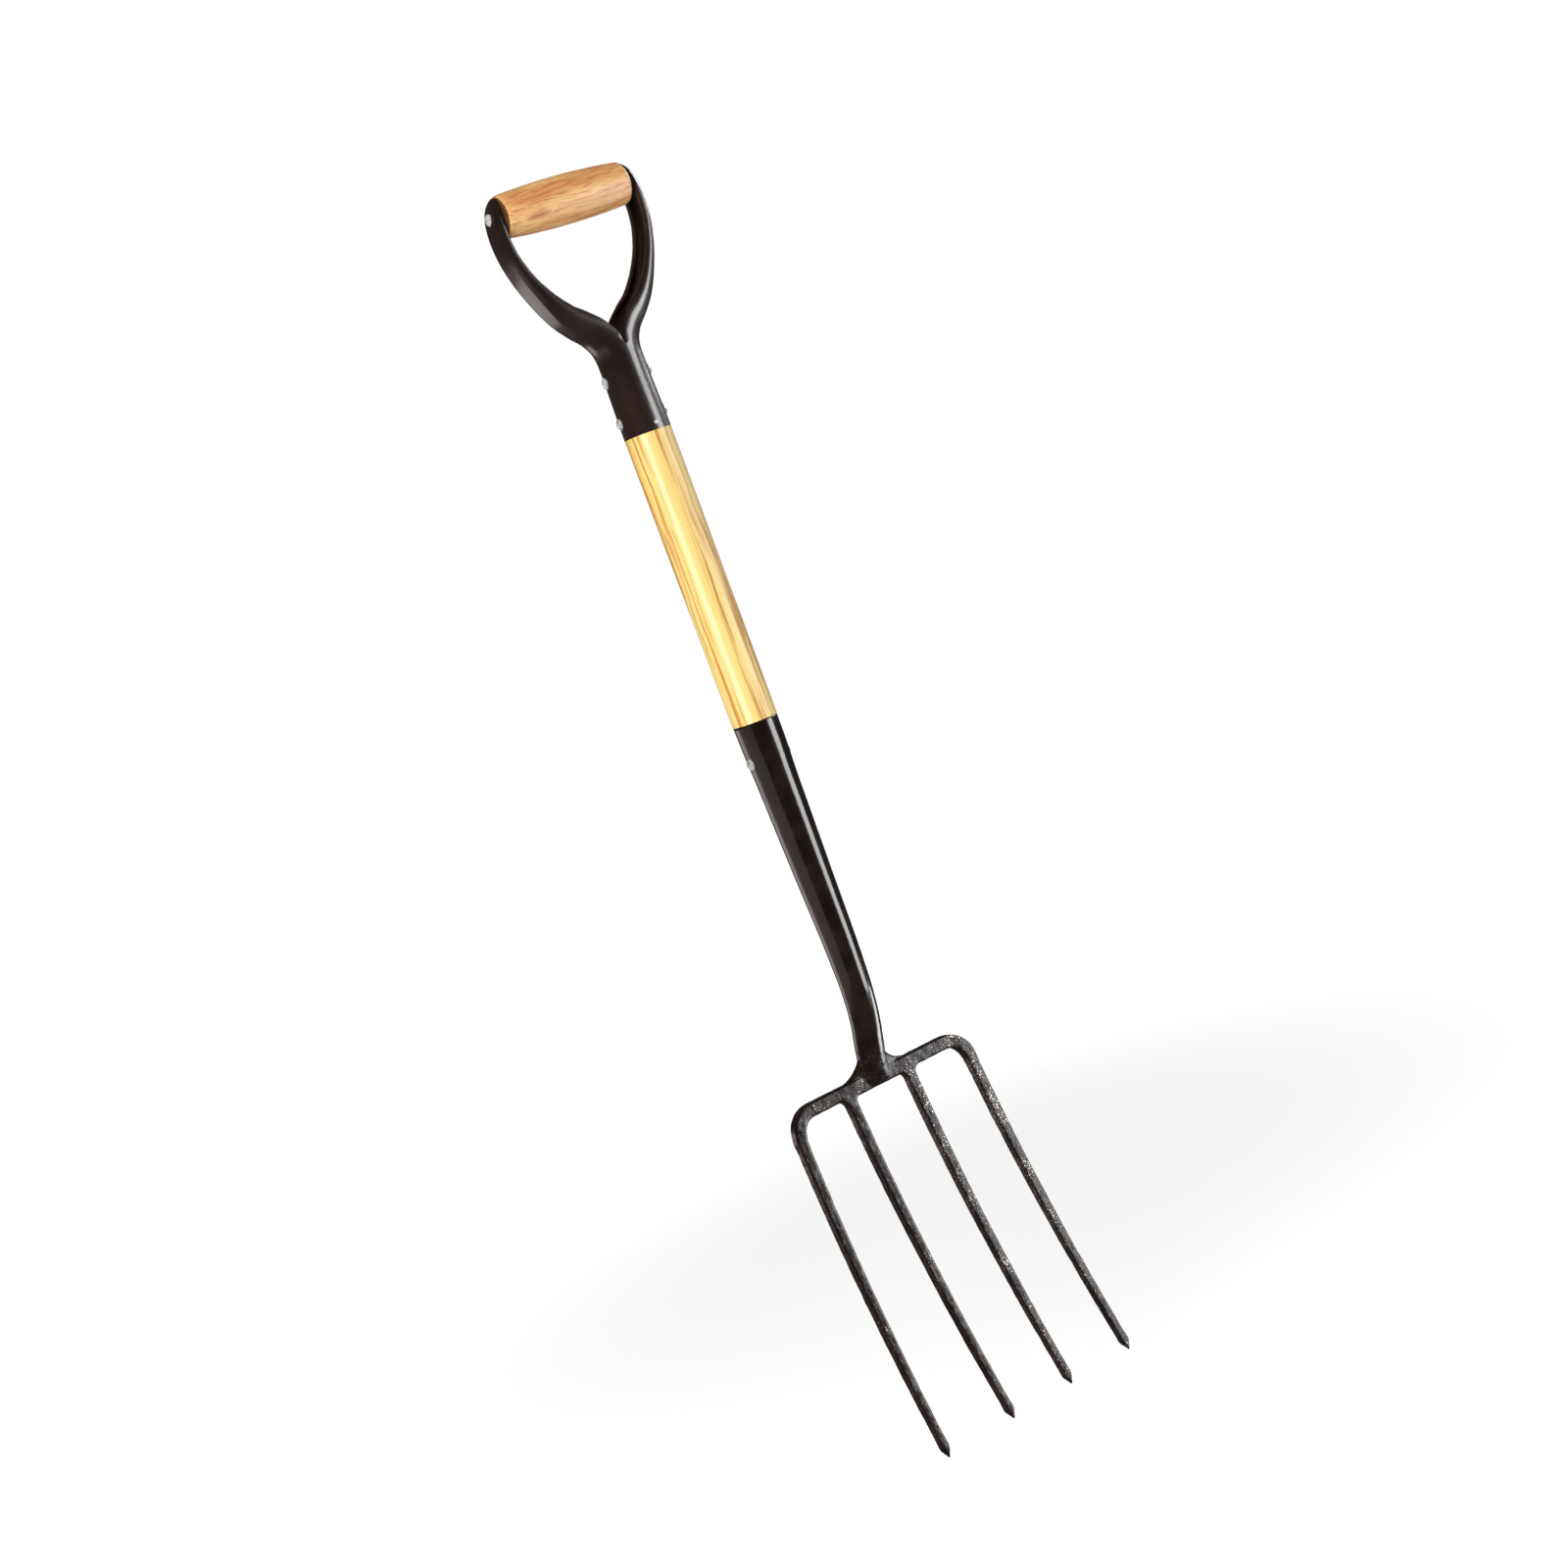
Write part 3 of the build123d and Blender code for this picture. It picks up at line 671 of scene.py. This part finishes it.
def hoop():
    # the outer tines and the bar in one run: up from a tip, round a quarter circle, along the bar
    # and down again
    (leftBar, leftTip), (rightBar, rightTip) = headShape["tines"][0], headShape["tines"][3]
    radius, corner = headShape["cornerRadius"], headShape["cornerRows"] + 2
    low = barZ - radius
    down = np.linspace(tipZ, low, headShape["tineRows"])
    share = (barZ - down) / headShape["reach"]
    left, right = np.linspace(pi, pi / 2, corner)[1:-1], np.linspace(0, pi / 2, corner)[1:-1]
    bar = np.linspace(leftBar + radius, rightBar - radius, headShape["barRows"])
    x = np.concatenate([
        leftBar + (leftTip - leftBar) * share, leftBar + radius + radius * np.cos(left), bar,
        rightBar - radius + radius * np.sin(right),
        (rightBar + (rightTip - rightBar) * share)[::-1]])
    z = np.concatenate([
        down, low + radius * np.sin(left), 0 * bar + barZ,
        low + radius * np.cos(right), down[::-1]])
    centre, facing = bowed(x, z)
    wide, thick = tineSizes(z)
    onBar = smoothStep(*headShape["barFrom"], z - barZ)
    wide = wide + (headShape["barHigh"] - wide) * onBar
    thick = thick + (headShape["barThick"] - thick) * onBar
    deeper = headShape["barDrop"] * smoothStep(*headShape["dropFrom"], np.abs(x)) * onBar
    centre[:, 2] -= deeper / 2
    return sweptBar(centre, facing, wide + deeper, thick)


def innerTine(atBar, atTip):
    # one inner tine: straight in the front view, widened at each side under the bar by a share of
    # radius - sqrt(radius^2 - (radius - depth)^2)
    z = np.linspace(tipZ, barZ + headShape["intoBar"], headShape["innerRows"])
    share = (barZ - z) / headShape["reach"]
    centre, facing = bowed(atBar + (atTip - atBar) * share, z)
    wide, thick = tineSizes(z)
    radius = headShape["rootRound"]
    below = np.clip(barZ - headShape["barHigh"] / 2 - z, 0, radius)
    fillet = radius - np.sqrt(radius ** 2 - (radius - below) ** 2)
    return sweptBar(centre, facing, wide + 2 * fillet * headShape["rootShare"], thick)


def cornerWebs():
    # fills the inside corners beside the outer tines: half width grows with the square of the
    # height
    grids = []
    low, high = headShape["cornerLevels"]
    least, growth = headShape["cornerHalf"]
    gap, share = headShape["cornerPlace"]
    z = np.linspace(barZ - low, barZ - high, 20)
    half = least + growth * ((z - z[0]) / (z[-1] - z[0])) ** 2
    for index, way in ((0, 1), (3, -1)):
        centre, facing = bowed(headShape["tines"][index][0] + way * (gap + half * share), z)
        grids.append(carried(centre, alike(z, toRight), facing, half,
                             alike(z, headShape["cornerThick"]), alike(z, 3.0), 24))
    return grids


def neckGrid():
    # round sections carried down the cranked centre line, each square to it
    table = np.array(headShape["neck"])
    depth = np.linspace(0, table[-1, 0], headShape["neckRows"])
    depth, wide, thick, back, power = curveThrough(table[:, 0], table, depth).T
    centre = np.stack([0 * depth, back, mouthZ - depth], 1)
    along = unit(np.gradient(centre, axis=0))
    along[0] = (0, 0, -1)
    side = alike(depth, toRight)
    grid = carried(centre, side, unit(np.cross(along, side)), wide / 2, thick / 2, power,
                   headShape["neckRing"])
    return grid, centre


def webGrid(neckCentre):
    # webs from the neck out along the bar: half width grows by radius minus the root of radius
    # squared less the remaining height squared
    top = barZ + headShape["barHigh"] / 2
    radius, setback = headShape["webRadius"], headShape["setback"]
    z = np.linspace(barZ - headShape["webBelow"], top + radius * headShape["webRise"], 60)
    rise = np.clip(z - top, 0, radius)
    half = headShape["webHalf"] + radius - np.sqrt(radius ** 2 - (radius - rise) ** 2)
    back = np.interp(-z, -neckCentre[:, 2], neckCentre[:, 1])
    back = np.where(z < top, setback, back + (setback - back) * (1 - rise / radius) ** 2)
    thick = headShape["webThick"] * (1 - headShape["webThin"] * rise / radius) / 2
    return carried(np.stack([0 * z, back, z], 1), alike(z, toRight), alike(z, toBack), half, thick,
                   alike(z, headShape["webSquare"]), 60)


def shaftBore():
    # tapered bore in the socket for the wooden shaft: a cutter of three round rings
    table = np.array(headShape["neck"])
    low = headShape["shaftDepth"]
    depth = np.array([-2.0, 0.0, low])
    mouthR = table[0, 1] / 2 - headShape["mouthWall"]
    endR = np.interp(low, table[:, 0], table[:, 1]) / 2 - headShape["endWall"]
    radius = np.array([mouthR, mouthR, endR])
    centre = np.stack([0 * depth, 0 * depth, mouthZ - depth], 1)
    rings = carried(centre, alike(depth, toRight), alike(depth, toBack), radius, radius,
                    alike(depth, 2.0), 96)
    return newObject("shaft_bore_cut", *closedSurface([rings]))


def buildHead():
    neck, neckCentre = neckGrid()
    grids = [hoop(), neck, webGrid(neckCentre)] + cornerWebs()
    grids += [innerTine(*ends) for ends in headShape["tines"][1:3]]
    piece = newObject("fork_head_forging", *closedSurface(grids))
    remesh = piece.modifiers.new("merge", "REMESH")
    remesh.mode, remesh.voxel_size, remesh.adaptivity = "VOXEL", headShape["voxel"] * mm, 0.0
    ease = piece.modifiers.new("ease", "SMOOTH")
    ease.factor, ease.iterations = 0.5, 1
    bake(piece)
    # dents: two sizes of noise along the normals, fading up the neck and at the points
    points, normals = coordinates(piece) / mm, coordinates(piece, "normal")
    bumps = sum(latticeNoise(points, cell, seed) * share
                for seed, (cell, share) in enumerate(headShape["dents"], 1))
    calm = headShape["smoothNeck"]
    rough = smoothStep(*headShape["hammerFrom"], points[:, 2] - mouthZ)
    bumps = bumps * (calm + (1 - calm) * rough)
    bumps = bumps * smoothStep(*headShape["tipCalm"], points[:, 2] - tipZ)
    moveTo(piece, (points + normals * (headShape["hammer"] * bumps)[:, None]) * mm)
    cutter = shaftBore()
    cut = piece.modifiers.new("bore", "BOOLEAN")
    cut.operation, cut.solver, cut.object = "DIFFERENCE", "EXACT", cutter
    bake(piece)
    bpy.data.objects.remove(cutter)
    piece.data.shade_smooth()
    piece.data.set_sharp_from_angle(angle=radians(60))
    finishPiece(piece, "fork", "fork_head", forgedPaint)


buildYoke()
buildHead()

# the other nodes keep their own shape and get a better material
nodeLooks = {"shaft": ashWood, "grip": handleWood, "grip_rod": rivetSteel,
             "head_rivet": rivetSteel, "yoke_nail": rivetSteel,
             "yoke_rivet_lower": rivetSteel, "yoke_rivet_upper": rivetSteel}
for name, material in nodeLooks.items():
    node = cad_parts[name]
    node.data.materials.clear()
    node.data.materials.append(material)
print("carried-over nodes painted")

studio = {"floorDrop": 0.06, "floorRadius": 1.9, "floorMiddle": (0.35, 0.6),
          "floorGlow": (0.42, 0.9), "floorFade": (0.2, 1.6),    # in the middle and at the rim
          "seen": 1.0, "mirrored": 0.06, "ambient": 0.42}

softboxes = {
    # place, width and height, watts, colour, lights surfaces, shows in gloss
    "front": ((-1.75, -1.35, 0.75), (1.8, 1.8), 52.0, (1.0, 0.985, 0.96), True, False),
    "right": ((1.57, -1.54, -0.62), (1.05, 1.75), 60.0, (1.0, 1.0, 1.0), False, True),
    "behind": ((-1.35, 2.27, -0.85), (1.7, 0.7), 7.0, (1.0, 0.90, 0.87), False, True),
    "left": ((-2.39, 0.10, -0.95), (3.4, 0.8), 5.2, (1.0, 0.88, 0.84), False, True),
    "low": ((1.8, -0.3, -1.75), (0.8, 1.1), 26.0, (1.0, 1.0, 1.0), False, True),
    "above": ((2.1, 0.15, 0.55), (0.9, 0.9), 30.0, (1.0, 1.0, 1.0), False, True)}


def buildStudio():
    middle = Vector((0, 0, (cadBox[0].z + cadBox[1].z) / 2))
    for name, (place, size, watts, colour, lights, shows) in softboxes.items():
        data = bpy.data.lights.new(name + "_softbox", "AREA")
        data.shape, data.energy, data.color = "RECTANGLE", watts, colour
        data.size, data.size_y = size
        lamp = bpy.data.objects.new(name + "_softbox", data)
        bpy.context.scene.collection.objects.link(lamp)
        lamp.location = place
        lamp.rotation_euler = (middle - Vector(place)).to_track_quat("-Z", "Y").to_euler()
        lamp.visible_camera, lamp.visible_diffuse, lamp.visible_glossy = False, lights, shows
    # white behind the tool, dim in its gloss, and a low even light on everything else
    world = bpy.data.worlds.new("studio")
    bpy.context.scene.world = world
    world.use_nodes = True
    tree = world.node_tree
    tree.nodes.clear()
    sky = Value(tree)
    white = (1, 1, 1, 1)
    shades = [sky.make("ShaderNodeBackground", None, {"Color": white, "Strength": studio[name]})
              for name in ("ambient", "mirrored", "seen")]
    light = shades[0]
    for ray, shade in zip(("Is Glossy Ray", "Is Camera Ray"), shades[1:]):
        light = sky.make("ShaderNodeMixShader", None,
                         {0: sky.make("ShaderNodeLightPath", out=ray), 1: light, 2: shade})
    tree.links.new(light.socket, tree.nodes.new("ShaderNodeOutputWorld").inputs["Surface"])
    ring = np.linspace(0, 2 * pi, 96, endpoint=False)
    radius = studio["floorRadius"]
    verts = np.stack([np.cos(ring), np.sin(ring), 0 * ring], 1) * radius / mm
    floor = newObject("floor", verts, [list(range(96))])
    floor.location = (*studio["floorMiddle"], cadBox[0].z - studio["floorDrop"])
    floor.visible_glossy = floor.visible_shadow = False
    material, look = newLook("floor_white")
    away = look.make("ShaderNodeVectorMath", {"operation": "LENGTH"}, {0: placed(look)}, "Value")
    glow = [(value, value, value, 1) for value in studio["floorGlow"]]
    floor.data.materials.append(painted(material, look, {
        "Base Color": (0.8, 0.8, 0.8, 1), "Roughness": 0.7, "Specular IOR Level": 0.0,
        "Emission Color": mix(look, span(look, away, *studio["floorFade"]), *glow),
        "Emission Strength": 1.0}))


def buildCamera():
    # looks at the tool from its front left, a little from above, with the frame turned so that
    # the tool leans to the left
    view = {"yaw": 29.074, "pitch": 5.184, "roll": 20.4344, "distance": 2055.6, "sideways": 3.945,
            "aimBelowMouth": 53.5, "lens": 61.29}
    yaw, pitch, roll = radians(view["yaw"]), radians(view["pitch"]), radians(view["roll"])
    level = Vector((sin(yaw), cos(yaw), 0))
    right = Vector((cos(yaw), -sin(yaw), 0))
    ahead = cos(pitch) * level - Vector((0, 0, sin(pitch)))
    above = Vector((0, 0, cos(pitch))) + sin(pitch) * level
    camX = cos(roll) * right - sin(roll) * above
    camY = sin(roll) * right + cos(roll) * above
    aim = Vector((0, 0, (mouthZ - view["aimBelowMouth"]) * mm)) + view["sideways"] * mm * right
    data = bpy.data.cameras.new("camera")
    data.lens, data.sensor_width = view["lens"], 36.0
    data.clip_start, data.clip_end = 0.05, 50.0
    camera = bpy.data.objects.new("camera", data)
    bpy.context.scene.collection.objects.link(camera)
    turned = Matrix((camX, camY, -ahead)).transposed().to_4x4()
    camera.matrix_world = Matrix.Translation(aim - view["distance"] * mm * ahead) @ turned
    bpy.context.scene.camera = camera
    bpy.context.scene.view_settings.view_transform = "Standard"


buildStudio()
buildCamera()
print("studio and camera ready")
